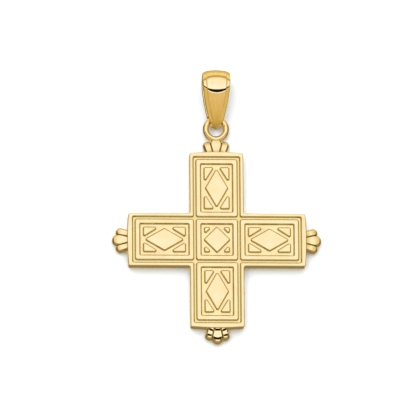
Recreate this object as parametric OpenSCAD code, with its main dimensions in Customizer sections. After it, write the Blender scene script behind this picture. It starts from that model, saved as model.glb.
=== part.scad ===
// Cross pendant with a tapered bail. It lies on its back: +Z is out of the face, +Y runs to the bail.
// The origin is the middle of the cross's flat back. All sizes are in millimetres.

/* [Cross plate] */
// Width of each arm
arm_w = 6.25; // [5:0.05:8]
// Half length of the cross, at the corners of an arm's end
arm_reach = 10.22; // [9:0.02:13]
// How far the middle of each end bows out past its corners
end_bow = 0.2; // [0.1:0.05:0.4]
// Thickness of the plate, from its back to the top of the rim
plate_t = 1.4; // [1.2:0.05:2]

/* [Relief] */
// Height of everything raised on the face
relief_h = 0.3; // [0.15:0.05:0.5]
// Width of the rim
rim_w = 0.42; // [0.3:0.02:0.6]
// Width of the groove between the rim and the frames, and between two frames
groove_w = 0.34; // [0.2:0.02:0.5]
// Width of the band of each frame
frame_w = 0.48; // [0.3:0.02:0.7]
// Radius of a frame's outer corners
frame_r = 0.24; // [0.1:0.02:0.4]
// Length of the lozenge in a long panel
lozenge_l = 4.4; // [3.6:0.1:5]
// Width of the lozenge in a long panel
lozenge_w = 2.62; // [2:0.02:2.9]
// Diagonal of the square lozenge in the middle panel
middle_lozenge = 3.05; // [2.4:0.05:3.2]
// Gap between a corner triangle and the panel's wall
triangle_gap = 0.36; // [0.25:0.01:0.45]
// Leg of a corner triangle along the arm
triangle_l = 1.45; // [1:0.05:1.6]
// Leg of a corner triangle across the arm
triangle_w = 1.05; // [0.7:0.05:1.1]
// Leg of a corner triangle in the middle panel
middle_triangle = 0.76; // [0.5:0.02:0.85]

/* [Finials] */
// Reach of a finial past the middle of an arm's end
finial_reach = 1.76; // [1.5:0.02:2.2]
// Reach of its side lobes
side_reach = 1.34; // [1.1:0.02:1.5]
// Radius of the middle lobe near its tip
lobe_r = 0.75; // [0.65:0.01:0.8]
// Radius of a side lobe near its tip
side_lobe_r = 0.6; // [0.5:0.01:0.65]
// Radius of every lobe at its root
lobe_base_r = 0.5; // [0.4:0.01:0.55]
// Distance from the middle of a finial to the root of a side lobe
side_root = 0.6; // [0.5:0.02:0.7]
// Angle between the middle lobe and a side lobe
lobe_angle = 17; // [10:1:22]
// Height of the finials' flat top
finial_top = 1.22; // [1.1:0.02:1.3]

/* [Hanging ring] */
// Outer diameter of the ring
ring_d = 3.06; // [3:0.02:3.1]
// Diameter of the ring's hole
ring_hole_d = 1.64; // [1.62:0.02:1.7]
// Thickness of the ring
ring_t = 0.6; // [0.5:0.02:0.6]
// Height of the ring's middle above the back of the plate
ring_z = 0.92; // [0.9:0.01:0.94]
// Distance of the ring's centre from the middle of the top arm's end
ring_offset = 2.76; // [2.6:0.02:2.9]

/* [Bail] */
// Width of the bail at its top
bail_w = 3.2; // [2.8:0.1:3.6]
// Distance from the ring's wire to the middle of the bail's top roll
bail_l = 4.19; // [3.8:0.01:5]
// Radius of the top roll
roll_r = 1.55; // [1.4:0.05:1.6]
// Height of the ridge across the front
ridge_z = 3.2; // [3.15:0.05:3.4]
// Distance of the ridge below the middle of the top roll
ridge_drop = 1.02; // [0.9:0.02:1.3]
// Thickness of the strap in front and at the tip
strap_t = 0.45; // [0.4:0.01:0.5]
// Thickness of the strap at the back
back_t = 0.33; // [0.3:0.01:0.34]
// How much wider the eye for the ring's wire is at the strap's edges than in its middle
flare = 0.22; // [0.15:0.01:0.24]
// Radius of the side curves that taper the bail
taper_r = 10.5; // [9:0.1:14]
// Width of the bevel along each front edge
bevel_w = 0.5; // [0.3:0.05:0.6]
// Depth of that bevel
bevel_d = 0.22; // [0.1:0.02:0.3]

/* [Hidden] */
$fn = 96;

// Overlap that lets two fused shapes share some metal
bite = 0.2;
// Reach of a cutting shape past what it cuts
over = 1;

// Cross plate and relief
arm_end = arm_reach + end_bow;
bow_r = (pow(arm_w / 2, 2) + pow(end_bow, 2)) / (2 * end_bow);
floor_z = plate_t - relief_h;
cell_w = arm_w - 2 * (rim_w + groove_w);
cell_l = arm_reach - rim_w - groove_w - (cell_w / 2 + groove_w);
cell_mid = cell_w / 2 + groove_w + cell_l / 2;

// Finials
finial_z = finial_top / 2;
// How deep a finial is rooted in the arm, and how far its flat back is above the plate's
finial_root = 0.3;
finial_back = 0.04;

// Ring, and the centre of its wire where the bail hangs
wire_w = (ring_d - ring_hole_d) / 2;
// Radius that rounds the wire's edges
wire_r = 0.26;
ring_y = arm_end + ring_offset;
wire_y = ring_y + (ring_d - wire_w) / 2;

// How far a flat runs inside the round that it joins, so that the two cross
sink = 0.02;

// Bail, seen from the side: a teardrop with its tip round the wire and its back on z = 0
roll_y = wire_y + bail_l;
eye_r = ring_z - back_t;
tip_outer_r = (eye_r + strap_t + ring_z) / 2;
tip_drop = 0.1;
tip_y = wire_y - tip_drop;
ridge_y = roll_y - ridge_drop;
slope = atan2(ridge_z - tip_outer_r, ridge_y - tip_y)
    - asin(tip_outer_r / norm([ridge_z - tip_outer_r, ridge_y - tip_y]));
roll_hole_r = roll_r - strap_t;

// Bail, seen from the front: the radius of its tip, and where its sides start to curve in
end_r = 0.9;
taper_drop = 0.27;
taper_y = roll_y - taper_drop;
taper_x = bail_w / 2 - taper_r + sink;
flat_w = bail_w - 2 * bevel_w;

// Where the eye's flare starts and ends, from the middle of the bail
flare_start = 0.2;
flare_end = 0.85;

// A rectangle centred on the origin with round corners
module round_rect(w, l, r) {
    square([w - 2 * r, l], center = true);
    square([w, l - 2 * r], center = true);
    for (x = [-1, 1], y = [-1, 1])
        translate([x * (w / 2 - r), y * (l / 2 - r)])
            circle(r);
}

// One bar of the cross with both of its ends bowed
module bar() {
    intersection() {
        square([arm_w, 2 * arm_end], center = true);
        for (side = [0, 180])
            rotate(side)
                intersection() {
                    translate([0, arm_end - bow_r])
                        circle(bow_r, $fn = 360);
                    translate([-arm_w, -bite])
                        square([2 * arm_w, arm_end + over]);
                }
    }
}

module cross_outline() {
    bar();
    rotate(90)
        bar();
}

// The inside edge of the rim, straight on every side
module rim_opening() {
    for (turn = [0, 90])
        rotate(turn)
            square([arm_w - 2 * rim_w, 2 * (arm_reach - rim_w)], center = true);
}

module frame(w, l) {
    difference() {
        round_rect(w, l, frame_r);
        square([w - 2 * frame_w, l - 2 * frame_w], center = true);
    }
}

module lozenge(w, l) {
    polygon([[w / 2, 0], [0, l / 2], [-w / 2, 0], [0, -l / 2]]);
}

// Four right triangles, one in each corner of a panel
module corner_triangles(panel_w, panel_l, leg_w, leg_l) {
    x = panel_w / 2 - triangle_gap;
    y = panel_l / 2 - triangle_gap;
    for (a = [0, 1], b = [0, 1])
        mirror([a, 0])
            mirror([0, b])
                polygon([[x, y], [x - leg_w, y], [x, y - leg_l]]);
}

module long_cell() {
    frame(cell_w, cell_l);
    lozenge(lozenge_w, lozenge_l);
    corner_triangles(cell_w - 2 * frame_w, cell_l - 2 * frame_w, triangle_w, triangle_l);
}

module middle_cell() {
    frame(cell_w, cell_w);
    lozenge(middle_lozenge, middle_lozenge);
    corner_triangles(cell_w - 2 * frame_w, cell_w - 2 * frame_w, middle_triangle, middle_triangle);
}

module rim() {
    difference() {
        cross_outline();
        rim_opening();
    }
}

module plate() {
    linear_extrude(floor_z)
        cross_outline();
    translate([0, 0, floor_z - bite])
        linear_extrude(relief_h + bite) {
            rim();
            middle_cell();
            for (turn = [0:90:270])
                rotate(turn)
                    translate([0, cell_mid])
                        long_cell();
        }
}

// One lobe of a shell: a cone that widens to a ball, lying along +Y
module lobe(l, r) {
    rotate([-90, 0, 0]) {
        cylinder(h = l - r, r1 = lobe_base_r, r2 = r);
        translate([0, 0, l - r])
            sphere(r);
    }
}

// A shell of three lobes with a flat top and back, rooted in the end of an arm
module finial() {
    side_l = (side_reach + finial_root - side_lobe_r) / cos(lobe_angle) + side_lobe_r;
    intersection() {
        translate([0, arm_end - finial_root, finial_z]) {
            lobe(finial_reach + finial_root, lobe_r);
            for (side = [-1, 1])
                translate([side * side_root, 0, 0])
                    rotate(-side * lobe_angle)
                        lobe(side_l, side_lobe_r);
        }
        translate([-arm_w / 2, arm_end - finial_root, finial_back])
            cube([arm_w, finial_reach + 2 * finial_root, finial_top - finial_back]);
    }
}

module ring() {
    translate([0, ring_y, ring_z])
        rotate_extrude()
            translate([(ring_d - wire_w) / 2, 0])
                round_rect(wire_w, ring_t, wire_r);
}

module cross() {
    color("gold") {
        plate();
        for (turn = [0:90:270])
            rotate(turn)
                finial();
        ring();
    }
}

// Stands a side view (drawn as Y and Z) up across the bail's width
module across(w) {
    rotate([90, 0, 90])
        translate([0, 0, -w / 2])
            linear_extrude(w)
                children();
}

// The teardrop outside, from the round tip to the middle of the roll
module side_outer() {
    reach = tip_outer_r - sink;
    translate([tip_y, tip_outer_r])
        circle(tip_outer_r);
    polygon([
        [tip_y, sink],
        [tip_y, tip_outer_r],
        [tip_y - reach * sin(slope), tip_outer_r + reach * cos(slope)],
        [ridge_y, ridge_z],
        [roll_y, 2 * roll_r - sink],
        [roll_y, sink]
    ]);
}

// The teardrop inside, which holds the ring's wire at its tip and the chain at its top
module side_inner() {
    reach = eye_r - sink;
    translate([tip_y, ring_z])
        circle(eye_r);
    translate([roll_y, back_t + roll_hole_r])
        circle(roll_hole_r);
    polygon([
        [tip_y, back_t + sink],
        [tip_y, ring_z],
        [tip_y - reach * sin(slope), ring_z + reach * cos(slope)],
        [ridge_y, ridge_z - strap_t / cos(slope)],
        [roll_y, back_t + 2 * roll_hole_r - sink],
        [roll_y, back_t + sink]
    ]);
}

// The bail from the front: straight at the top, then curving in to a round tip
module front_outline() {
    end_y = tip_y - tip_outer_r + end_r;
    difference() {
        union() {
            translate([-bail_w / 2, end_y])
                square([bail_w, bail_l + roll_r + over]);
            translate([0, end_y])
                circle(end_r);
        }
        for (side = [0, 1])
            mirror([side, 0])
                difference() {
                    translate([0, tip_y - 2 * tip_outer_r])
                        square([bail_w, taper_y - tip_y + 2 * tip_outer_r]);
                    translate([taper_x, taper_y])
                        circle(taper_r, $fn = 360);
                }
    }
}

// The roll at the top, with its two edges bevelled
module roll() {
    translate([0, roll_y, roll_r])
        for (side = [0, 180])
            rotate([0, 90 + side, 0]) {
                translate([0, 0, -bite])
                    cylinder(h = flat_w / 2 + bite, r = roll_r);
                translate([0, 0, flat_w / 2])
                    cylinder(h = bevel_w, r1 = roll_r, r2 = roll_r - bevel_d);
            }
}

// Everything under the bevels along the face above the ridge
module under_upper_bevel() {
    top = 2 * roll_r;
    rise = ridge_z - top + sink;
    low_x = bail_w / 2 + over;
    high_x = flat_w / 2 - rise * bevel_w / bevel_d;
    translate([0, roll_y, 0])
        rotate([90, 0, 0])
            linear_extrude(2 * bail_l)
                polygon([
                    [-low_x, 0],
                    [low_x, 0],
                    [low_x, top - bevel_d * (1 + over / bevel_w)],
                    [high_x, top + rise],
                    [-high_x, top + rise],
                    [-low_x, top - bevel_d * (1 + over / bevel_w)]
                ]);
}

// Everything under the bevel along one side of the face below the ridge: a wide, flat cone
module under_lower_bevel() {
    depth = ridge_z + over;
    spread = bevel_w / bevel_d;
    translate([taper_x, ridge_y, ridge_z])
        rotate([slope, 0, 0])
            translate([0, taper_y - ridge_y, -depth])
                cylinder(
                    h = depth + 3 * sink,
                    r1 = taper_r - bevel_w + depth * spread,
                    r2 = taper_r - bevel_w - 3 * sink * spread,
                    $fn = 360
                );
}

// The flared ends of the eye, which leave room for the ring's curve
module eye_flares() {
    translate([0, tip_y, ring_z])
        for (side = [0, 180])
            rotate([0, 90 + side, 0])
                translate([0, 0, flare_start])
                    cylinder(h = flare_end - flare_start, r1 = eye_r, r2 = eye_r + flare);
}

module bail() {
    color("goldenrod")
        difference() {
            intersection() {
                union() {
                    roll();
                    intersection() {
                        across(bail_w)
                            side_outer();
                        under_upper_bevel();
                        under_lower_bevel();
                        mirror([1, 0, 0])
                            under_lower_bevel();
                    }
                }
                linear_extrude(ridge_z + over)
                    front_outline();
            }
            across(bail_w + over)
                side_inner();
            eye_flares();
        }
}

cross();
bail();
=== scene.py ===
"""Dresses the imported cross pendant: the cast gold cross and the bail that swings on its ring."""

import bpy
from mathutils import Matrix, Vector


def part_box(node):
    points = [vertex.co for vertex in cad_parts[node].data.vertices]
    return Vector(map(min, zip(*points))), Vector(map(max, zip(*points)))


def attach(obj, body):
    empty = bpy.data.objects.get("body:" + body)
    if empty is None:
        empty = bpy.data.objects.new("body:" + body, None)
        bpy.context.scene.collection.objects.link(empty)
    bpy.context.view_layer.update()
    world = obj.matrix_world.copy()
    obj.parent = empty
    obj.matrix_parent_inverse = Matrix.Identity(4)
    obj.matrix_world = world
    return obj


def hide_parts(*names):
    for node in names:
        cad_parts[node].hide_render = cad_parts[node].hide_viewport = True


bl_info = {
    "name": "Cross Pendant",
    "version": (1, 0, 0),
    "blender": (4, 5, 0),
    "location": "View3D > Sidebar > Pendant",
    "description": "Makes the cast cross, its tapered bail and a small photo studio around the "
    "packed frame",
    "category": "Add Mesh",
}

from functools import partialmethod
from math import atan2, copysign, cos, pi, radians, sin, sqrt, tan, tau

import bpy
from bpy.props import FloatProperty, FloatVectorProperty, PointerProperty
from mathutils import Matrix, Vector
from mathutils.geometry import tessellate_polygon

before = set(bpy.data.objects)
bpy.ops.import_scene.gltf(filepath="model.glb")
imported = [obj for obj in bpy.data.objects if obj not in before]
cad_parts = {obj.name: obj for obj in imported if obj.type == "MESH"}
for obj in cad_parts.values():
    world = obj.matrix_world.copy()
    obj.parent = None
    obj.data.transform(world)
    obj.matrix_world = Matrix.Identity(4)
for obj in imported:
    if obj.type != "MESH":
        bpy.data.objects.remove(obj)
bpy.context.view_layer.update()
BAIL_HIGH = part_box("bail")[1]

# Outlines are worked out in millimetres, and a mesh gets its metres at the end
MM = 0.001

# Finishes of the cross's faces, in the order of its material slots. Two of them are painted shade:
# darker gold on the relief's steep walls, and on the petals' sides in the creases between them
POLISHED, SATIN, SHADED_WALL, CREASE_SHADE, GROOVE = range(5)

# Facets of a rounded corner, of a rounded edge and of an arm's bowed end
CORNER_STEPS, EDGE_STEPS, BOW_STEPS = 8, 5, 12

# Radii of corners seen from above, in millimetres: the outline's, those of the rim's opening, and
# those of the frames, their panels and the raised work
END_CORNER, INNER_CORNER = 0.12, 0.3
OPENING_CORNER, OPENING_NOTCH = 0.27, 0.1
FRAME_CORNER, PANEL_CORNER, ISLAND_CORNER = 0.17, 0.21, 0.05

# Radii of edges seen from the side, in millimetres: the plate's, and those of the relief's walls,
# whose draft is in degrees
TOP_EDGE, BACK_EDGE = 0.1, 0.08
WALL_EDGE, WALL_FOOT, WALL_DRAFT = 0.035, 0.07, 22

# A petal's side: the tilt in degrees where its round edge ends, the radii of that edge and of the
# bulge under it, then the height of its back and the radius of the back's edge, in millimetres
PETAL_TILT, PETAL_EDGE, PETAL_BULGE = 50, 0.06, 0.915
PETAL_BACK, PETAL_BACK_EDGE = 0.04, 0.2

# Facets of a petal: across its face, round its edge, down its bulge and round its back's edge,
# and the distance of its face's rows in millimetres
PETAL_COLUMNS, PETAL_EDGE_STEPS, PETAL_BULGE_STEPS, PETAL_BACK_STEPS = 8, 4, 6, 5
PETAL_ROW = 0.045

# Corners and their radii in millimetres: the middle petal's right half, and the right petal
MIDDLE_PETAL = [(0.22, -0.3), (0.25, 0), (0.5, 1.0), (0.33, 1.36), (0.14, 1.502)]
MIDDLE_RADII = [0.05, 0.05, 0.6, 0.55, 0.29]
SIDE_PETAL = [(0.46, -0.3), (0.86, -0.3), (0.95, 0), (1.23, 0.86), (1.04, 1.1), (0.74, 1.04)]
SIDE_PETAL += [(0.5, 0)]
SIDE_RADII = [0.05, 0.05, 0.05, 0.25, 0.25, 0.2, 0.05]

# What petal_height needs for each, the right petal's direction and root, the slope of a petal's
# foot in degrees, and how far the painted shade in the creases between the petals reaches in x and
# y
MIDDLE_FORM = dict(start=0.779, sweep=0.172, flat=0.55, dome=0.156, power=2, bow=0.72)
SIDE_FORM = dict(start=0.504, sweep=0.27, flat=0.52, dome=0.27, power=1.5, bow=0.25)
SIDE_DIRECTION, SIDE_ROOT = (0.38, 0.925), 0.697
FOOT_SLOPE, CREASE_SHADE_REACH = 15, (0.76, 1.12)

# The bail's taper follows this power of the way down. Its tip and its flat front keep at least
# these shares of the half width
TAPER_POWER = 1.8
TIP_SHARE, FLAT_SHARE = 0.2, 0.42

# The ridge sags by this share in the middle, less the square of the way to the side. Along the
# strap the sag fades as e to this power, times the square of the way
SAG_MIDDLE, SAG_FADE = 0.8, -2.0

# The golds: name, two colours of the settings, range of roughness, then the grain's size, the
# grain's depth and the wave's depth in millimetres. The cross's are in the order of its slots
CROSS_GOLDS = [
    ("Polished gold", "light", "deep", (0.015, 0.035), 0.06, 0.0001, 0.0006),
    ("Satin gold", "satin", "deep", (0.2, 0.3), 0.09, 0.002, 0.002),
    # This gold is painted shade: the relief's steep walls are darker for the shade in them
    ("Wall shade gold", "wall_shade", "wall_shade", (0.12, 0.2), 0.05, 0.0004, 0.0006),
    # This gold is painted shade, dark as the shade deep between the petals
    ("Crease shade gold", "crease_shade", "wall_shade", (0.15, 0.25), 0.05, 0.0004, 0.0006),
    ("Groove gold", "groove", "deep", (0.2, 0.3), 0.09, 0.0015, 0.002),
]
BAIL_GOLD = ("Bail gold", "light", "deep", (0.02, 0.04), 0.05, 0.0001, 0.0004)


def mm(length):
    """A length of the settings, which hold metres, in millimetres."""
    return length / MM


def a_length(name, description, default):
    """A length of the settings, whose default is in millimetres."""
    settled = {"default": default * MM, "unit": "LENGTH", "subtype": "DISTANCE"}
    return FloatProperty(name=name, description=description, **settled)


def an_angle(name, description, default):
    """An angle of the settings, whose default is in degrees."""
    settled = {"default": radians(default), "unit": "ROTATION", "subtype": "ANGLE"}
    return FloatProperty(name=name, description=description, **settled)


def a_colour(name, description, default):
    """A colour of the settings."""
    settled = {"default": default, "size": 3, "subtype": "COLOR"}
    return FloatVectorProperty(name=name, description=description, **settled)


class CrossSettings(bpy.types.PropertyGroup):
    """Sizes of the cast cross."""

    arm_width: a_length("Arm width", "Width of each arm", 6.25)
    arm_reach: a_length(
        "Arm reach",
        "Distance from the middle of the cross to the corners of an arm's end",
        10.275,
    )
    end_bow: a_length(
        "End bow", "How far the middle of each end bows out past its corners", 0.145
    )
    thickness: a_length("Thickness", "From the back to the rim's top", 1.4)
    relief: a_length("Relief", "Height of the raised work", 0.3)
    rim_width: a_length("Rim width", "Width of the rim", 0.42)
    rim_end: a_length("Rim end", "Width of the rim at the corners of an arm's end", 0.475)
    groove_width: a_length("Groove width", "Width of the groove around each frame", 0.3)
    frame_width: a_length("Frame width", "Width of each frame's band", 0.55)
    lozenge_length: a_length("Lozenge length", "Length of the lozenge in a long panel", 4.55)
    lozenge_width: a_length("Lozenge width", "Width of the lozenge in a long panel", 2.62)
    middle_lozenge: a_length(
        "Middle lozenge", "Diagonal of the square lozenge in the middle panel", 3.05
    )
    triangle_gap: a_length(
        "Triangle gap", "Gap between a corner triangle and its panel's wall", 0.4
    )
    triangle_length: a_length("Triangle length", "Leg of a corner triangle along the arm", 1.82)
    triangle_width: a_length("Triangle width", "Leg of a corner triangle across the arm", 1.14)
    middle_triangle: a_length("Middle triangle", "Legs of the triangles in the middle panel", 0.8)
    top_spread: FloatProperty(
        name="Top spread",
        description="How much wider the top arm's finial is than the others",
        default=0.07,
    )
    finial_top: a_length("Finial top", "Height of the finials' flats", 1.13)
    ring_radius: a_length(
        "Ring radius", "Radius of the hanging ring to the middle of its wire", 1.175
    )
    ring_distance: a_length(
        "Ring distance", "Distance of the ring's centre from the middle of the cross", 13.18
    )
    ring_height: a_length("Ring height", "Height of the ring's middle", 0.92)
    wire_width: a_length("Wire width", "Width of the ring's wire", 0.71)
    wire_height: a_length("Wire height", "Height of the ring's wire", 0.6)


class BailSettings(bpy.types.PropertyGroup):
    """Sizes of the bail."""

    width: a_length("Width", "Width at the top", 3.2)
    top: a_length(
        "Top", "Distance of the top from the middle of the cross", mm(BAIL_HIGH.y) - 0.06
    )
    tip_middle: a_length(
        "Tip middle", "Distance of the tip's curve from the middle of the cross", 14.11
    )
    tip_radius: a_length("Tip radius", "Radius of the tip from the side", 0.98)
    strap: a_length("Strap", "Thickness of the strap", 0.39)
    slope: an_angle("Slope", "Slope of the long lower face", 17.9)
    bevel_width: a_length("Bevel width", "Width of the bevels", 0.42)
    bevel_depth: a_length("Bevel depth", "Depth of the bevels", 0.12)
    taper_start: a_length("Taper start", "Where the sides start to curve in", 18.9)


class GoldSettings(bpy.types.PropertyGroup):
    """Colours of the gold, and of the painted shade on the relief's walls and between the petals.
    """

    light: a_colour("Light gold", "Colour of the palest gold", (0.97, 0.79, 0.47))
    deep: a_colour("Deep gold", "Colour of the deepest gold", (0.93, 0.72, 0.38))
    satin: a_colour("Satin gold", "Colour of the panels' matt floors", (0.97, 0.81, 0.42))
    groove: a_colour("Groove gold", "Colour of the grooves' floors", (0.84, 0.69, 0.27))
    # The relief's walls are painted in this darker gold, as the shade on them
    wall_shade: a_colour(
        "Wall shade gold",
        "Colour of the relief's walls, painted darker for the shade on them",
        (0.64, 0.57, 0.31),
    )
    # The creases between the petals are painted in this dark gold, as the shade deep in them
    crease_shade: a_colour(
        "Crease shade gold", "Colour of the painted shade deep between the petals", (0.36, 0.28, 0.1)
    )


class StudioSettings(bpy.types.PropertyGroup):
    """The studio's light and camera."""

    elevation: an_angle("Camera elevation", "Angle of the camera above the floor", 77.7)
    azimuth: an_angle(
        "Camera azimuth", "How far the camera stands to the right of the cross's foot", -18
    )
    roll: an_angle("Camera roll", "How far the camera is turned about its own axis", 17.95)
    view_width: a_length("View width", "Width that the camera sees", 46.4)
    lens: FloatProperty(name="Lens", description="Focal length", default=800, unit="CAMERA")
    floor_light: FloatProperty(
        name="Floor light",
        description="Power of the soft light on the floor",
        default=6.4,
        unit="POWER",
    )


# --- outlines


def evenly(start, end, steps):
    """Numbers at even steps from one to another, both included."""
    return [start + (end - start) * step / steps for step in range(steps + 1)]


def with_normals(corners):
    """Each corner of an anticlockwise outline, with the outward normals of its two edges."""
    normals = []
    for start, end in zip(corners[-1:] + corners, corners):
        along = (end - start).normalized()
        normals.append(Vector((along.y, -along.x)))
    return list(zip(corners, normals, normals[1:] + normals[:1]))


def inset(corners, distance):
    """The corners of an anticlockwise outline, moved in by a distance."""
    return [c - (b + a) * (distance / (1 + b.dot(a))) for c, b, a in with_normals(corners)]


def rounded(corners, radii, steps=CORNER_STEPS):
    """Points and outward normals of an anticlockwise outline whose corners have these radii."""
    points, normals = [], []
    for i, (corner, before, after) in enumerate(with_normals(corners)):
        if radii[i] == 0:
            points.append(corner)
            normals.append((before + after).normalized())
            continue
        turn = atan2(before.x * after.y - before.y * after.x, before.dot(after))
        radius = copysign(radii[i], turn)
        reach = radii[i] * tan(abs(turn) / 2)
        start = corner - (corner - corners[i - 1]).normalized() * reach
        centre = start - before * radius
        for angle in evenly(0, turn, steps):
            normal = Matrix.Rotation(angle, 2) @ before
            points.append(centre + normal * radius)
            normals.append(normal)
    return points, normals


def corners_of(width, length):
    """The four corners of a rectangle about the origin, anticlockwise."""
    x, y = width / 2, length / 2
    return [Vector(p) for p in ((x, -y), (x, y), (-x, y), (-x, -y))]


def mirrored(corners):
    """An anticlockwise outline, mirrored left to right."""
    return [Vector((-corner.x, corner.y)) for corner in reversed(corners)]


def turned(corners, quarter):
    """An outline turned by quarter turns about the middle of the cross."""
    turn = Matrix.Rotation(radians(90 * quarter), 2)
    return [turn @ corner for corner in corners]


def wall_profile(top, bottom):
    """A relief's wall with a round edge and foot: steps out, height and tilt of the normal."""
    steepest = radians(90 - WALL_DRAFT)
    fall = top - bottom - (WALL_EDGE + WALL_FOOT) * (1 - cos(steepest))
    width = (WALL_EDGE + WALL_FOOT) * sin(steepest) + fall / tan(steepest)
    profile, tilts = [], evenly(0, steepest, EDGE_STEPS)
    for t in tilts:
        profile.append((WALL_EDGE * sin(t), top - WALL_EDGE * (1 - cos(t)), t))
    for t in reversed(tilts):
        profile.append((width - WALL_FOOT * sin(t), bottom + WALL_FOOT * (1 - cos(t)), t))
    return profile


def side_profile(top):
    """The plate's outside: a round top edge, an upright wall and a round back edge on z = 0."""
    quarter = [radians(angle) for angle in evenly(0, 90, EDGE_STEPS)]
    profile = [(TOP_EDGE * sin(t), top - TOP_EDGE * (1 - cos(t)), t) for t in quarter]
    for t in quarter:
        out = TOP_EDGE - BACK_EDGE + BACK_EDGE * cos(t)
        profile.append((out, BACK_EDGE * (1 - sin(t)), t + pi / 2))
    return profile


# --- skin of the cast cross


class Skin:
    """Points, their normals and faces of one closed skin, in millimetres."""

    def __init__(self):
        self.points, self.normals, self.faces, self.finishes_and_shades = [], [], [], []

    def rings(self, outline, profile, side, finish=POLISHED):
        """Adds a wall that follows an outline. Side 1 falls away outwards, and -1 inwards.

        Returns the wall's first and last ring.
        """
        points, normals = outline
        count, made = len(points), []
        for distance, height, tilt in profile:
            made.append(range(len(self.points), len(self.points) + count))
            for point, normal in zip(points, normals):
                out = normal * side
                place = point + out * distance
                self.points.append((place.x, place.y, height))
                level = sin(tilt)
                self.normals.append((out.x * level, out.y * level, cos(tilt)))
        tilts = [tilt for _, _, tilt in profile]
        for upper, lower, tilt, next_tilt in zip(made, made[1:], tilts, tilts[1:]):
            # The steeper faces take the finish given, which on the relief's walls is painted
            # shade; the flatter faces of the round edge and foot stay polished
            steep = tilt + next_tilt > max(tilts)
            for i in range(count):
                j = (i + 1) % count
                face = (lower[i], lower[j], upper[j], upper[i])
                self.add(face if side > 0 else face[::-1], finish if steep else POLISHED)
        return made[0], made[-1]

    def flat(self, rings, finish=POLISHED, up=True):
        """Fills the space inside the first ring and outside the others."""
        indices = [i for ring in rings for i in ring]
        loops = [[Vector(self.points[i][:2]).to_3d() for i in ring] for ring in rings]
        triangles = [tuple(indices[i] for i in three) for three in tessellate_polygon(loops)]
        # A sliver's own turn is rounding noise, so all of them turn the way that they do together
        turn = 0
        for triangle in triangles:
            a, b, c = (Vector(self.points[i][:2]) for i in triangle)
            turn += (b - a).cross(c - a)
        for triangle in triangles:
            self.add(triangle if (turn > 0) == up else triangle[::-1], finish)

    def add(self, face, finish):
        self.faces.append(face)
        self.finishes_and_shades.append(finish)


def bowed_outline(cross):
    """The corners of the cross with every arm's end bowed out, and a radius for each."""
    half, reach, bow = mm(cross.arm_width) / 2, mm(cross.arm_reach), mm(cross.end_bow)
    radius = (half**2 + bow**2) / (2 * bow)
    corners, radii = [], []
    for quarter in range(4):
        end = [Vector((half, reach))]
        for x in evenly(half, -half, BOW_STEPS)[1:-1]:
            end.append(Vector((x, reach + bow - radius + sqrt(radius**2 - x**2))))
        end += [Vector((-half, reach)), Vector((-half, half))]
        corners += turned(end, quarter)
        radii += [END_CORNER] + [0] * (BOW_STEPS - 1) + [END_CORNER, INNER_CORNER]
    return corners, radii


def opening_outline(cross):
    """The corners of the rim's inside edge, straight on every side, and a radius for each."""
    half = mm(cross.arm_width) / 2 - mm(cross.rim_width)
    reach = mm(cross.arm_reach) - mm(cross.rim_end)
    end = [Vector(p) for p in ((half, reach), (-half, reach), (-half, half))]
    corners = [c for quarter in range(4) for c in turned(end, quarter)]
    return corners, [OPENING_CORNER, OPENING_CORNER, OPENING_NOTCH] * 4


def panel_islands(cross, width, length, lozenge, triangle):
    """The outlines of a panel's lozenge and of its four corner triangles."""
    half_w, half_l = lozenge[0] / 2, lozenge[1] / 2
    shapes = [[Vector(p) for p in ((half_w, 0), (0, half_l), (-half_w, 0), (0, -half_l))]]
    gap, (leg_w, leg_l) = mm(cross.triangle_gap), triangle
    x, y = width / 2 - gap, length / 2 - gap
    for sx in (1, -1):
        for sy in (1, -1):
            corners = [(sx * x, sy * y), (sx * (x - leg_w), sy * y), (sx * x, sy * (y - leg_l))]
            shapes.append([Vector(p) for p in (corners if sx * sy > 0 else corners[::-1])])
    return shapes


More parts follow.
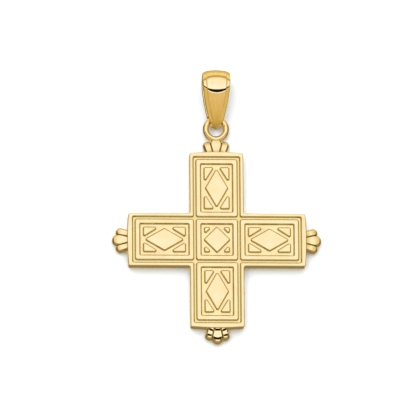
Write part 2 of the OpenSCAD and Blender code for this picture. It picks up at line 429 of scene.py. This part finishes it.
def plate_skin(cross):
    """The plate with its rim, frames, lozenges and triangles, as one closed skin."""
    skin = Skin()
    top = mm(cross.thickness)
    wall = wall_profile(top, top - mm(cross.relief))
    half_wall = wall[-1][0] / 2

    corners, radii = bowed_outline(cross)
    outside, back = skin.rings(rounded(inset(corners, TOP_EDGE), radii), side_profile(top), 1)
    corners, radii = opening_outline(cross)
    # The rim's inner wall is painted darker as shade, like every wall of the relief
    rim, groove = skin.rings(rounded(inset(corners, -half_wall), radii), wall, -1, SHADED_WALL)
    skin.flat([outside, rim])
    skin.flat([back], SATIN, up=False)

    frame_width = mm(cross.frame_width)
    cell_width = mm(cross.arm_width) - 2 * (mm(cross.rim_width) + mm(cross.groove_width))
    inner_end = cell_width / 2 + mm(cross.groove_width)
    outer_end = mm(cross.arm_reach) - mm(cross.rim_end) - mm(cross.groove_width)
    panel_width = cell_width - 2 * frame_width
    lozenge = (mm(cross.lozenge_width), mm(cross.lozenge_length))
    triangle = (mm(cross.triangle_width), mm(cross.triangle_length))
    # A cell's quarter turns, its length, its distance from the middle and its raised work
    middle = (0, cell_width, 0, (mm(cross.middle_lozenge),) * 2, (mm(cross.middle_triangle),) * 2)
    arm = (outer_end - inner_end, (inner_end + outer_end) / 2, lozenge, triangle)
    feet = []
    for quarter, length, distance, *work in [middle, *((turns, *arm) for turns in range(4))]:

        def placed(shape, shrink=half_wall):
            moved = [corner + Vector((0, distance)) for corner in shape]
            return inset(turned(moved, quarter), shrink)

        outer = rounded(placed(corners_of(cell_width, length)), [FRAME_CORNER] * 4)
        # The frame's and the panel's walls are painted darker as shade
        frame_top, foot = skin.rings(outer, wall, 1, SHADED_WALL)
        feet.append(foot)
        length -= 2 * frame_width
        inner = rounded(placed(corners_of(panel_width, length), -half_wall), [PANEL_CORNER] * 4)
        panel_top, panel = skin.rings(inner, wall, -1, SHADED_WALL)
        skin.flat([frame_top, panel_top])
        island_feet = []
        for shape in panel_islands(cross, panel_width, length, *work):
            outline = rounded(placed(shape), [ISLAND_CORNER] * len(shape))
            # The island's walls are painted darker as shade
            island_top, island_foot = skin.rings(outline, wall, 1, SHADED_WALL)
            skin.flat([island_top])
            island_feet.append(island_foot)
        skin.flat([panel, *island_feet], SATIN)
    skin.flat([groove, *feet], GROOVE)
    return skin


# --- shell finials


def petal_profile():
    """Steps out and down of a petal's side, which rolls over and bulges out to its waist."""
    profile = []
    for angle in evenly(0, PETAL_TILT, PETAL_EDGE_STEPS):
        t = radians(angle)
        profile.append((PETAL_EDGE * sin(t), -PETAL_EDGE * (1 - cos(t))))
    start, height = profile[-1]
    steep = radians(PETAL_TILT)
    for t in evenly(steep, pi / 2, PETAL_BULGE_STEPS)[1:]:
        out = start + PETAL_BULGE * (sin(t) - sin(steep))
        profile.append((out, height - PETAL_BULGE * (cos(steep) - cos(t))))
    return profile


def finial_skin(cross):
    """A shell of three petals on the end of an arm along +Y, with its root at the origin."""
    skin = Skin()
    top = mm(cross.finial_top)
    right = [Vector(p) for p in MIDDLE_PETAL]
    middle = rounded(right + mirrored(right), MIDDLE_RADII + MIDDLE_RADII[::-1])
    add_petal(skin, middle, top, direction=(0, 1), root=0, **MIDDLE_FORM)
    side, (x, y) = [Vector(p) for p in SIDE_PETAL], SIDE_DIRECTION
    add_petal(skin, rounded(side, SIDE_RADII), top, direction=(x, y), root=SIDE_ROOT, **SIDE_FORM)
    side = rounded(mirrored(side), SIDE_RADII[::-1])
    add_petal(skin, side, top, direction=(-x, y), root=-SIDE_ROOT, **SIDE_FORM)
    return skin


def petal_height(point, top, direction, root, start, sweep, flat, dome, power, bow):
    """Height of a petal's face: it sweeps up to the plate at its root and domes down to its tip.

    Along the petal the sweep ends at start and the dome begins at flat. Both follow a power law,
    and the dome's edge is bowed.
    """
    offset = point - Vector((root, 0))
    along, across = offset.dot(Vector(direction)), offset.cross(Vector(direction))
    steep = tan(radians(FOOT_SLOPE)) / direction[1]
    back = max(start - along, 0)
    curve = min(back, (steep / (power * sweep)) ** (1 / (power - 1)))
    rise = sweep * curve**power + (back - curve) * steep
    return top + rise - dome * max(along + bow * across**2 - flat, 0) ** power


def rungs(outline, gap):
    """Pairs of points and normals on an outline's left and right, from its foot to its top."""
    points, normals = outline
    count = len(points)
    low = min(range(count), key=lambda i: points[i].y)
    high = max(range(count), key=lambda i: points[i].y)

    def side(step):
        kept, i = [low], low
        while i != high:
            i = (i + step) % count
            kept.append(i)
        return kept

    def at(chain, y):
        for a, b in zip(chain, chain[1:]):
            if points[a].y <= y < points[b].y:
                share = (y - points[a].y) / (points[b].y - points[a].y)
                normal = normals[a].lerp(normals[b], share).normalized()
                return points[a].lerp(points[b], share), normal
        raise ValueError("the outline turns back")

    right, left = side(1), side(-1)
    # The first and the last rung are a little inside, and no two are closer than twice that
    near = 0.003
    bottom, top = points[low].y + near, points[high].y - near
    levels = evenly(bottom, top, round((top - bottom) / gap))
    kept = [bottom]
    for y in sorted(levels + [p.y for p in points]):
        if kept[-1] + 2 * near < y < top - 2 * near:
            kept.append(y)
    return [(at(left, y), at(right, y)) for y in kept + [top]]


def add_petal(skin, outline, top, **form):
    """Adds a petal: its face, its bulging side and its flat back."""
    grid = []
    for (left, out_left), (right, out_right) in rungs(outline, PETAL_ROW):
        grid.append([])
        for share in evenly(0, 1, PETAL_COLUMNS):
            place, out = left.lerp(right, share), out_left.lerp(out_right, share).normalized()
            grid[-1].append((len(skin.points), place, out))
            skin.points.append((place.x, place.y, petal_height(place, top, **form)))
    for lower, upper in zip(grid, grid[1:]):
        for a, b, c, d in zip(lower, lower[1:], upper[1:], upper):
            skin.add((a[0], b[0], c[0], d[0]), POLISHED)

    loop = grid[0] + [row[-1] for row in grid[1:-1]]
    loop += grid[-1][::-1] + [row[0] for row in grid[-2:0:-1]]
    ring, count = [index for index, _, _ in loop], len(loop)
    # Near the creases between the petals, the petal's sides are painted dark as shade
    reach_x, reach_y = CREASE_SHADE_REACH
    in_crease_shade = [abs(place.x) < reach_x and place.y < reach_y for _, place, _ in loop]

    def add_ring(distance, height):
        """Adds a ring of faces under the last one, out by a distance from the face's edge."""
        nonlocal ring
        below = list(range(len(skin.points), len(skin.points) + count))
        for index, place, out in loop:
            moved = place + out * distance
            skin.points.append((moved.x, moved.y, height(skin.points[index][2])))
        for i in range(count):
            j = (i + 1) % count
            # Below the round edge, a face near a crease takes the painted shade
            deep = in_crease_shade[i] and distance > PETAL_EDGE
            skin.add((below[i], below[j], ring[j], ring[i]), CREASE_SHADE if deep else POLISHED)
        ring = below

    # Above the waist a ring keeps its share of the face's height, and below it a ring is level
    profile = petal_profile()
    widest, sunk = profile[-1]
    waist = top + sunk
    for distance, drop in profile[1:]:
        add_ring(distance, lambda face: waist + (face - waist) * (drop - sunk) / -sunk)
    for angle in evenly(0, 90, PETAL_BACK_STEPS)[1:]:
        t = radians(angle)
        level = PETAL_BACK + (waist - PETAL_BACK) * (1 - sin(t))
        add_ring(widest - PETAL_BACK_EDGE + PETAL_BACK_EDGE * cos(t), lambda face: level)
    skin.flat([ring], up=False)


# --- meshes and node trees


def scene_object(name, data):
    """An object of the scene that shows a mesh, a light or a camera."""
    made = bpy.data.objects.new(name, data)
    bpy.context.scene.collection.objects.link(made)
    return made


def mesh_object(name, points, faces, edges=()):
    """A mesh object from points in millimetres."""
    mesh = bpy.data.meshes.new(name)
    mesh.from_pydata([[c * MM for c in p] for p in points], edges, faces)
    return scene_object(name, mesh)


def loop_object(name, points):
    """A closed line of edges through points in millimetres."""
    count = len(points)
    return mesh_object(name, points, [], [(i, (i + 1) % count) for i in range(count)])


class Value:
    """What a node gives out. Arithmetic with it adds math nodes."""

    def __init__(self, nodes, socket):
        self.nodes, self.socket = nodes, socket

    def after(self, other, operation):
        return self.nodes.math(operation, self, other)

    def before(self, other, operation):
        return self.nodes.math(operation, other, self)

    def __neg__(self):
        return self * -1.0

    __add__ = partialmethod(after, operation="ADD")
    __sub__ = partialmethod(after, operation="SUBTRACT")
    __rsub__ = partialmethod(before, operation="SUBTRACT")
    __mul__ = partialmethod(after, operation="MULTIPLY")
    __truediv__ = partialmethod(after, operation="DIVIDE")
    __rtruediv__ = partialmethod(before, operation="DIVIDE")
    __pow__ = partialmethod(after, operation="POWER")


class Nodes:
    """Adds nodes to a node tree, and links them."""

    def __init__(self, tree):
        self.tree = tree

    def node(self, kind, settings=(), **links):
        """Adds a node. A link is named after its input, with _ for a space."""
        made = self.tree.nodes.new(kind)
        for key, value in dict(settings).items():
            setattr(made, key, value)
        for label, value in links.items():
            self.feed(made.inputs[label.replace("_", " ")], value)
        return made

    def feed(self, entry, value):
        """Gives an input another node's output, or a constant."""
        if isinstance(value, Value):
            value = value.socket
        if isinstance(value, bpy.types.NodeSocket):
            self.tree.links.new(value, entry)
        else:
            entry.default_value = value

    def value(self, kind, settings=(), **links):
        """Adds a node, for what its first output gives."""
        return Value(self, self.node(kind, settings, **links).outputs[0])

    def math(self, operation, *values):
        made = self.node("ShaderNodeMath", {"operation": operation})
        for entry, value in zip(made.inputs, values):
            self.feed(entry, value)
        return Value(self, made.outputs[0])

    def ramp(self, value, start, end, shape="LINEAR", **ends):
        """What runs from 0 to 1, or between other ends, while a value runs from start to end."""
        ends.update(Value=value, From_Min=start, From_Max=end)
        return self.value("ShaderNodeMapRange", {"interpolation_type": shape}, **ends)

    def parts(self, vector):
        """The x, y and z of a vector."""
        outputs = self.node("ShaderNodeSeparateXYZ", Vector=vector).outputs
        return [Value(self, output) for output in outputs]


SOCKETS = {int: "Int", float: "Float", bpy.types.Object: "Object", bpy.types.Material: "Material"}


class Tree(Nodes):
    """A geometry node tree with an input for each of its named values, one of them a material.

    It ends in Realize Instances and Set Material.
    """

    def __init__(self, name, values):
        super().__init__(bpy.data.node_groups.new(name, "GeometryNodeTree"))
        self.values = values
        self.socket("Geometry", "Geometry")
        for label, value in values.items():
            self.socket(label, SOCKETS[type(value)])
        self.socket("Geometry", "Geometry", "OUTPUT")
        self.inputs = self.node("NodeGroupInput").outputs

    def socket(self, label, kind, direction="INPUT"):
        kind = "NodeSocket" + kind
        self.tree.interface.new_socket(label, in_out=direction, socket_type=kind)

    def __getitem__(self, label):
        """The number that an input holds."""
        return Value(self, self.inputs[label])

    def vector(self, x, y, z):
        return self.value("ShaderNodeCombineXYZ", X=x, Y=y, Z=z)

    def finish(self, geometry):
        smooth = self.value("GeometryNodeSetShadeSmooth", Geometry=geometry)
        real = self.value("GeometryNodeRealizeInstances", Geometry=smooth)
        material = self.inputs["Material"]
        dressed = self.value("GeometryNodeSetMaterial", Geometry=real, Material=material)
        self.node("NodeGroupOutput", Geometry=dressed)

    def apply(self, made):
        """Runs the tree on an object, which it removes, and returns the result as a mesh."""
        modifier = made.modifiers.new(self.tree.name, "NODES")
        modifier.node_group = self.tree
        for item in self.tree.interface.items_tree:
            if item.name in self.values:
                modifier[item.identifier] = self.values[item.name]
        graph = bpy.context.evaluated_depsgraph_get()
        mesh = bpy.data.meshes.new_from_object(made.evaluated_get(graph))
        made.modifiers.remove(modifier)
        bpy.data.objects.remove(made)
        return mesh


def finial_tree(values):
    """Sets a finial on the end of each arm. The top arm's is spread out a little."""
    tree = Tree("Finials on arms", values)
    index = tree.value("GeometryNodeInputIndex")
    turn = index * (tau / tree["Arms"])
    x = tree.math("SINE", turn) * -tree["Distance"]
    y = tree.math("COSINE", turn) * tree["Distance"]
    ends = tree.value("GeometryNodePoints", Count=tree["Arms"], Position=tree.vector(x, y, 0.0))
    spread = tree.math("LESS_THAN", index, 0.5) * tree["Top spread"]
    made = tree.value(
        "GeometryNodeInstanceOnPoints",
        Points=ends,
        Instance=tree.inputs["Geometry"],
        Rotation=tree.vector(0.0, 0.0, turn),
        Scale=tree.vector(spread + 1.0, 1.0, 1.0),
    )
    tree.finish(made)
    return tree


def ring_tree(values):
    """Sweeps the wire's oval section round a circle, whose foot dips under the shell."""
    tree = Tree("Hanging ring", values)
    kind, radius = "GeometryNodeCurvePrimitiveCircle", tree["Radius"]
    circle = tree.value(kind, Resolution=128, Radius=radius)
    section = tree.value(kind, Resolution=40, Radius=0.5)
    size = tree.vector(tree["Wire width"], tree["Wire height"], 1.0)
    oval = tree.value("GeometryNodeTransform", Geometry=section, Scale=size)
    swept = tree.value("GeometryNodeCurveToMesh", Curve=circle, Profile_Curve=oval)
    _, y, _ = tree.parts(tree.value("GeometryNodeInputPosition"))
    # The dip starts a little above the circle's middle, and is full at its foot
    start, foot = -0.4, 1.0
    dip = tree.vector(0.0, 0.0, tree.ramp(-y / radius, start, foot) * -tree["Dip"])
    dipped = tree.value("GeometryNodeSetPosition", Geometry=swept, Offset=dip)
    place = tree.vector(0.0, tree["Distance"], tree["Height"])
    tree.finish(tree.value("GeometryNodeTransform", Geometry=dipped, Translation=place))
    return tree


def bail_tree(values):
    """Sweeps the strap's section round the bail's side path, then tapers it to a round tip."""
    tree = Tree("Tapered bail", values)
    info = tree.node("GeometryNodeObjectInfo", Object=tree.inputs["Section"])
    section = tree.value("GeometryNodeMeshToCurve", Mesh=info.outputs["Geometry"])
    path = tree.value("GeometryNodeMeshToCurve", Mesh=tree.inputs["Geometry"])
    swept = tree.value("GeometryNodeCurveToMesh", Curve=path, Profile_Curve=section)
    x, y, z = tree.parts(tree.value("GeometryNodeInputPosition"))
    full_half, full_flat, ridge = tree["Half width"], tree["Flat"], tree["Ridge"]

    def at_least(limit, value):
        return tree.math("MAXIMUM", value, limit)

    def distance(a, b):
        return tree.math("SQRT", a**2.0 + b**2.0)

    half = full_half - at_least(0.0, tree["Taper start"] - y) ** TAPER_POWER * tree["Taper rate"]
    into_tip = at_least(0.0, tree["Tip start"] - y) / tree["Tip length"]
    half = half * at_least(TIP_SHARE, 1.0 - into_tip**2.0)

    # The bevels keep their width for as long as they leave the flat front its share
    bevel = full_half - full_flat
    flat = at_least(half * FLAT_SHARE, half - bevel)
    away = tree.math("ABSOLUTE", x)
    in_flat = away * (flat / full_flat)
    in_bevel = flat + (away - full_flat) / bevel * (half - flat)
    outside = tree.math("GREATER_THAN", away, full_flat)
    new_away = (1.0 - outside) * in_flat + outside * in_bevel
    new_x = new_away * tree.math("SIGN", x)

    # The ridge sags along the long face, which stays as it is
    across = (away / full_half) ** 2.0
    fade = tree.math("EXPONENT", ((y - ridge) / full_half) ** 2.0 * SAG_FADE)
    front = tree.math("GREATER_THAN", z, full_half)
    sag = tree["Sag"] * fade * (SAG_MIDDLE - across) * front
    sagged_y, sagged_z = y - sag, z - sag * tree["Sag slope"]

    # The roll is a barrel: its sides lie nearer to its axis than its middle
    from_y, from_z = y - tree["Roll y"], z - tree["Roll z"]
    top = tree.ramp(y, ridge, tree["Crown end"], "SMOOTHERSTEP")
    share = across * tree["Crown"] * top / distance(from_y, from_z)
    new_y, new_z = sagged_y - from_y * share, sagged_z - from_z * share

    # The eye flares out to both sides, which leaves room for the ring's curve
    eye_y, eye_z = tree["Eye y"], tree["Eye z"]
    flare = tree["Flare"] * tree.ramp(new_away, tree["Flare start"], tree["Flare end"])
    off_y, off_z = new_y - eye_y, new_z - eye_z
    push = at_least(1.0, (tree["Eye"] + flare) / distance(off_y, off_z))
    place = tree.vector(new_x, eye_y + off_y * push, eye_z + off_z * push)
    tree.finish(tree.value("GeometryNodeSetPosition", Geometry=swept, Position=place))
    return tree


# --- bail


def bail_path(bail):
    """The outside of the bail from its side, as points in millimetres.

    Seen from -X it runs anticlockwise: from under the tip round it, along the long face, over the
    ridge, round the roll and back along the bottom.
    """
    tip, middle, slope = mm(bail.tip_radius), mm(bail.tip_middle), bail.slope
    # Radii of the soft bend below the ridge and of the ridge, and the slopes where they end
    soft, ridge = 3.0, 2.2
    bend, back = radians(8), radians(20)
    # The long face is a little steeper at its foot than at its head
    curl = radians(1.5)
    foot, head = slope + curl * 2 / 3, slope - curl / 3
    # The long face's length and the roll's radius close the path and reach the bail's top
    rise = tip + tip * cos(foot) + soft * (cos(bend) - cos(head))
    rise += ridge * (cos(back) - cos(bend))
    run = middle - tip * sin(foot) + soft * (sin(head) - sin(bend))
    run += ridge * (sin(bend) + sin(back))
    a, b, c = sin(slope), -(1 + cos(back)), -rise
    d, e, f = cos(slope), 1 - sin(back), mm(bail.top) - run
    length = (c * e - b * f) / (a * e - b * d)
    roll = (a * f - c * d) / (a * e - b * d)

    points = []
    heading = pi
    y, z = middle, 0.0

    def arc(radius, until, steps):
        nonlocal heading, y, z
        centre = (y + radius * sin(heading), z - radius * cos(heading))
        for angle in evenly(heading, until, steps)[1:]:
            y, z = centre[0] - radius * sin(angle), centre[1] + radius * cos(angle)
            points.append((0, y, z))
        heading = until

    def straight(toward, distance, steps, turn=0.0):
        """A face, 2/3 of the turn steeper at its foot and 1/3 of it less steep at its head."""
        nonlocal heading, y, z
        heading = toward
        start_y, start_z = y, z
        for share in evenly(0, 1, steps)[1:]:
            along = distance * share
            out = distance * turn * (1 - share - (1 - share) ** 3) / 3
            y = start_y + along * cos(heading) - out * sin(heading)
            z = start_z + along * sin(heading) + out * cos(heading)
            points.append((0, y, z))

    arc(tip, foot, steps=28)
    straight(slope, length, steps=40, turn=curl)
    heading = head
    arc(soft, bend, steps=24)
    arc(ridge, -back, steps=28)
    arc(roll, -pi, steps=44)
    straight(heading, y - middle, steps=20)
    return points


def bail_section(bail):
    """The strap's section: flat outside on y = 0, with two bevels, and round edges inside."""
    half, thick = mm(bail.width) / 2, mm(bail.strap)
    flat, deep = half - mm(bail.bevel_width), mm(bail.bevel_depth)
    # A fine line is cut where each bevel meets the flat. Its lip on the bevel lies a little lower
    line, cut, lip = 0.05, 0.05, 0.02
    right = [(half, -thick), (half, -deep), (flat + line, -lip), (flat, -cut), (flat - line, 0)]
    right = [Vector(p) for p in right]
    radii = [0.14, 0.09, 0.015, 0.01, 0.015]
    points, _ = rounded(right + mirrored(right), radii + radii[::-1], EDGE_STEPS)
    # A side longer than this is cut up
    longest, spread = 0.12, []
    for start, end in zip(points, points[1:] + points[:1]):
        pieces = max(1, round((end - start).length / longest))
        spread += [start.lerp(end, piece / pieces) for piece in range(pieces)]
    return [(p.x, p.y, 0) for p in spread]


# --- materials


def shade(name):
    """A new material, with its nodes and its shader."""
    material = bpy.data.materials.new(name)
    material.use_nodes = True
    return material, Nodes(material.node_tree), material.node_tree.nodes["Principled BSDF"]


def noise(nodes, where, size, detail=2.0):
    """Noise whose blobs are about a size in metres."""
    return nodes.value("ShaderNodeTexNoise", Vector=where, Scale=1 / size, Detail=detail)


def gold_material(gold, row, tone=1.6, stretch=(1, 1, 1)):
    """Gold whose colour, gloss and surface vary a little, with a fine grain and a slow wave.

    The row is one of the golds' above. Tone is the size in millimetres of its patches of colour.
    """
    name, light, deep, (glossy, rough), grain, grain_depth, wave_depth = row
    material, nodes, shader = shade(name)
    where = nodes.node("ShaderNodeTexCoord").outputs["Object"]
    along = nodes.value("ShaderNodeMapping", Vector=where, Scale=stretch)
    # Most of the noise lies from low to high. Gloss and wave have patches of these sizes
    low, high, gloss_size, wave_size = 0.3, 0.7, 0.5 * MM, 1.2 * MM
    patches = nodes.ramp(noise(nodes, along, tone * MM), low, high)
    light, deep = (*getattr(gold, light), 1), (*getattr(gold, deep), 1)
    mix = nodes.node("ShaderNodeMix", {"data_type": "RGBA"}, Factor=patches, A=light, B=deep)
    gloss = noise(nodes, along, gloss_size)
    roughness = nodes.ramp(gloss, low, high, To_Min=glossy, To_Max=rough)
    height = noise(nodes, where, wave_size, 1.0)
    wave = nodes.value("ShaderNodeBump", Distance=wave_depth * MM, Height=height)
    height = noise(nodes, along, grain * MM, 3.0)
    fine = nodes.value("ShaderNodeBump", Distance=grain_depth * MM, Height=height, Normal=wave)
    nodes.feed(shader.inputs["Metallic"], 1.0)
    nodes.feed(shader.inputs["Base Color"], mix.outputs["Result"])
    nodes.feed(shader.inputs["Roughness"], roughness)
    nodes.feed(shader.inputs["Normal"], fine)
    return material


# --- operators


def finished(name, mesh, body):
    """Shows a finished mesh in place of its CAD node."""
    piece = scene_object(name, mesh)
    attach(piece, body)
    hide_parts(body)


class PENDANT_OT_cross(bpy.types.Operator):
    """Make the cast cross with its relief, finials and hanging ring"""

    bl_idname = "pendant.make_cross"
    bl_label = "Make cross"

    def execute(self, context):
        cross, gold = context.scene.pendant_cross, context.scene.pendant_gold
        golds = [gold_material(gold, row) for row in CROSS_GOLDS]

        plate = plate_skin(cross)
        points = [[c * MM for c in p] for p in plate.points]
        normals, faces, finishes_and_shades = plate.normals, plate.faces, plate.finishes_and_shades

        finial = finial_skin(cross)
        shell = mesh_object("finial", finial.points, finial.faces)
        # Each face keeps its finish, or the painted shade of the creases
        marks = shell.data.attributes.new("finish", "INT", "FACE")
        marks.data.foreach_set("value", finial.finishes_and_shades)
        values = {
            "Distance": cross.arm_reach + cross.end_bow,
            "Arms": 4,
            "Top spread": cross.top_spread,
            "Material": golds[POLISHED],
        }
        shells = finial_tree(values).apply(shell)
        values = {
            "Radius": cross.ring_radius,
            "Distance": cross.ring_distance,
            "Height": cross.ring_height,
            "Wire width": cross.wire_width,
            "Wire height": cross.wire_height,
            "Dip": 0.18 * MM,
            "Material": golds[POLISHED],
        }
        ring = ring_tree(values).apply(mesh_object("ring_seed", [(0, 0, 0)], []))
        for part in (shells, ring):
            start = len(points)
            points += [list(v.co) for v in part.vertices]
            normals += [tuple(v.normal) for v in part.vertices]
            faces += [tuple(start + i for i in p.vertices) for p in part.polygons]
            # The finials' faces bring their finishes and the painted shade of their creases
            kept = part.attributes.get("finish")
            finishes_and_shades += [m.value for m in kept.data] if kept else [POLISHED] * len(part.polygons)
            bpy.data.meshes.remove(part)

        mesh = bpy.data.meshes.new("cast_cross")
        mesh.from_pydata(points, [], faces)
        for material in golds:
            mesh.materials.append(material)
        mesh.polygons.foreach_set("material_index", finishes_and_shades)
        mesh.shade_smooth()
        mesh.normals_split_custom_set_from_vertices(normals)
        finished("cast_cross", mesh, "cross")
        return {"FINISHED"}


class PENDANT_OT_bail(bpy.types.Operator):
    """Make the tapered bail"""

    bl_idname = "pendant.make_bail"
    bl_label = "Make bail"

    def execute(self, context):
        bail, gold = context.scene.pendant_bail, context.scene.pendant_gold
        section = loop_object("bail_section", bail_section(bail))
        # The distance of the roll's axis from the top and from the back
        roll = 1.42 * MM
        values = {
            "Section": section,
            "Half width": bail.width / 2,
            "Flat": bail.width / 2 - bail.bevel_width,
            "Taper start": bail.taper_start,
            "Taper rate": 0.045 * MM / MM**TAPER_POWER,
            "Tip start": 14.1 * MM,
            "Tip length": 1.0 * MM,
            "Ridge": 17.6 * MM,
            "Sag": 0.6 * MM,
            "Sag slope": tan(bail.slope),
            "Crown": 0.2 * MM,
            "Crown end": bail.top - 0.3 * MM,
            "Roll y": bail.top - roll,
            "Roll z": roll,
            "Eye y": bail.tip_middle + 0.095 * MM,
            "Eye z": bail.tip_radius - 0.06 * MM,
            "Eye": bail.tip_radius - bail.strap,
            "Flare": 0.24 * MM,
            "Flare start": 0.2 * MM,
            "Flare end": 0.85 * MM,
            "Material": gold_material(gold, BAIL_GOLD, tone=0.25, stretch=(1, 0.1, 1)),
        }
        mesh = bail_tree(values).apply(loop_object("bail_path", bail_path(bail)))
        bpy.data.objects.remove(section)
        mesh.name = "tapered_bail"
        finished("tapered_bail", mesh, "bail")
        return {"FINISHED"}


class PENDANT_OT_studio(bpy.types.Operator):
    """Make the floor, the light and the camera"""

    bl_idname = "pendant.make_studio"
    bl_label = "Make studio"

    def execute(self, context):
        studio = context.scene.pendant_studio
        make_floor()
        make_light(studio)
        make_camera(studio)
        context.scene.view_settings.view_transform = "Standard"
        return {"FINISHED"}


def make_floor():
    """White paper, 1.2 m wide. The gold doesn't reflect it."""
    reach = 600
    corners = [(-reach, -reach, 0), (reach, -reach, 0), (reach, reach, 0), (-reach, reach, 0)]
    floor = mesh_object("floor", corners, [(0, 1, 2, 3)])
    material, _, shader = shade("White paper")
    shader.inputs["Base Color"].default_value = (0.82, 0.88, 0.99, 1)
    shader.inputs["Roughness"].default_value = 0.9
    shader.inputs["Specular IOR Level"].default_value = 0.1
    floor.data.materials.append(material)
    floor.visible_glossy = False


def make_light(studio):
    """A white box of light overhead, with the dark of the camera in it, in a dim warm room."""
    world = bpy.data.worlds.new("Studio")
    bpy.context.scene.world = world
    world.use_nodes = True
    nodes = Nodes(world.node_tree)
    x, y, z = nodes.parts(nodes.node("ShaderNodeTexCoord").outputs["Generated"])

    def step(angle, start, end):
        """0 below start and 1 above end, which are in degrees."""
        return nodes.ramp(angle, radians(start), radians(end), "SMOOTHSTEP")

    def blend(factor, *colours):
        """The first colour where the factor is 0, and the second where it is 1."""
        low, high = ((*c, 1) if isinstance(c, tuple) else c for c in colours)
        mix = nodes.node("ShaderNodeMix", {"data_type": "RGBA"}, Factor=factor, A=low, B=high)
        return mix.outputs["Result"]

    # Angle in front of straight up, towards -Y, and angle to either side
    forward = nodes.math("ARCTAN2", -y, z)
    aside = nodes.math("ABSOLUTE", nodes.math("ARCSINE", x))

    before = blend(step(forward, 22.2, 26.4), (0.79, 0.63, 0.32), (0.61, 0.45, 0.14))
    before = blend(step(aside, 18, 26), before, (0.75, 0.59, 0.22))
    before = blend(step(forward, 30, 58), before, (0.5, 0.39, 0.17))
    before = blend(step(forward, 70, 125), before, (0.3, 0.24, 0.11))
    behind = blend(step(forward, -66, -55), (1.0, 0.86, 0.48), (0.6, 0.46, 0.18))
    behind = blend(step(forward, -110, -84), (0.7, 0.56, 0.27), behind)
    room = blend(step(forward, -30, 0), behind, before)
    room = blend(step(aside, 46, 70), room, (0.17, 0.15, 0.06))
    white = blend(step(forward, -42, -22), (1.0, 0.95, 0.85), (1.06, 1.1, 1.17))
    white = blend(step(forward, -14, 2), white, (1.2, 1.22, 1.36))
    white = blend(step(aside, 12, 28), white, (0.95, 0.88, 0.66))
    box = step(forward, -46, -37) * (1.0 - step(forward, 20, 21.6)) * (1.0 - step(aside, 24, 42))
    gap = step(forward, 7.2, 8) * (1.0 - step(forward, 16.4, 17.2)) * (1.0 - step(aside, 28, 34))
    seen = blend(gap, blend(box, room, white), (0.015, 0.012, 0.003))
    background = world.node_tree.nodes["Background"]
    nodes.feed(background.inputs["Color"], seen)
    nodes.feed(background.inputs["Strength"], 1.0)

    light = bpy.data.lights.new("soft_fill", "AREA")
    light.shape = "RECTANGLE"
    light.size, light.size_y = 0.95, 0.85
    light.energy = studio.floor_light
    light.color = (0.9, 0.95, 1.0)
    lamp = scene_object("soft_fill", light)
    lamp.location = (-0.1, 0.25, 0.5)
    lamp.rotation_euler = (-lamp.location).to_track_quat("-Z", "Y").to_euler()
    lamp.visible_glossy = False
    lamp.visible_camera = False


def make_camera(studio):
    """A long lens above the cross, at the photograph's angle."""
    data = bpy.data.cameras.new("camera")
    data.lens = studio.lens
    camera = scene_object("camera", data)
    # The middle of the view
    aim = Vector((-1.95, 4.66, 1.4)) * MM
    across, up = cos(studio.elevation), sin(studio.elevation)
    away = Vector((across * sin(studio.azimuth), -across * cos(studio.azimuth), up))
    distance = studio.view_width / data.sensor_width * data.lens
    turn = (-away).to_track_quat("-Z", "Y").to_matrix() @ Matrix.Rotation(studio.roll, 3, "Z")
    camera.matrix_world = Matrix.Translation(aim + away * distance) @ turn.to_4x4()
    data.clip_start, data.clip_end = 0.01, 10
    bpy.context.scene.camera = camera


class PENDANT_PT_panel(bpy.types.Panel):
    """Lists the pendant's pieces and settings"""

    bl_idname = "PENDANT_PT_panel"
    bl_label = "Cross Pendant"
    bl_space_type = "VIEW_3D"
    bl_region_type = "UI"
    bl_category = "Pendant"

    def draw(self, context):
        layout = self.layout
        for operator in OPERATORS:
            layout.operator(operator.bl_idname)
        for key in SETTINGS:
            group = getattr(context.scene, key)
            box = layout.box()
            for name in group.__annotations__:
                box.prop(group, name)


SETTINGS = {
    "pendant_cross": CrossSettings,
    "pendant_bail": BailSettings,
    "pendant_gold": GoldSettings,
    "pendant_studio": StudioSettings,
}
OPERATORS = (PENDANT_OT_cross, PENDANT_OT_bail, PENDANT_OT_studio)


def register():
    for group in (*SETTINGS.values(), *OPERATORS, PENDANT_PT_panel):
        bpy.utils.register_class(group)
    for key, group in SETTINGS.items():
        setattr(bpy.types.Scene, key, PointerProperty(type=group))


def unregister():
    for key in SETTINGS:
        delattr(bpy.types.Scene, key)
    for group in reversed((*SETTINGS.values(), *OPERATORS, PENDANT_PT_panel)):
        bpy.utils.unregister_class(group)


def main():
    register()
    bpy.ops.pendant.make_cross()
    bpy.ops.pendant.make_bail()
    bpy.ops.pendant.make_studio()


if __name__ == "__main__":
    main()
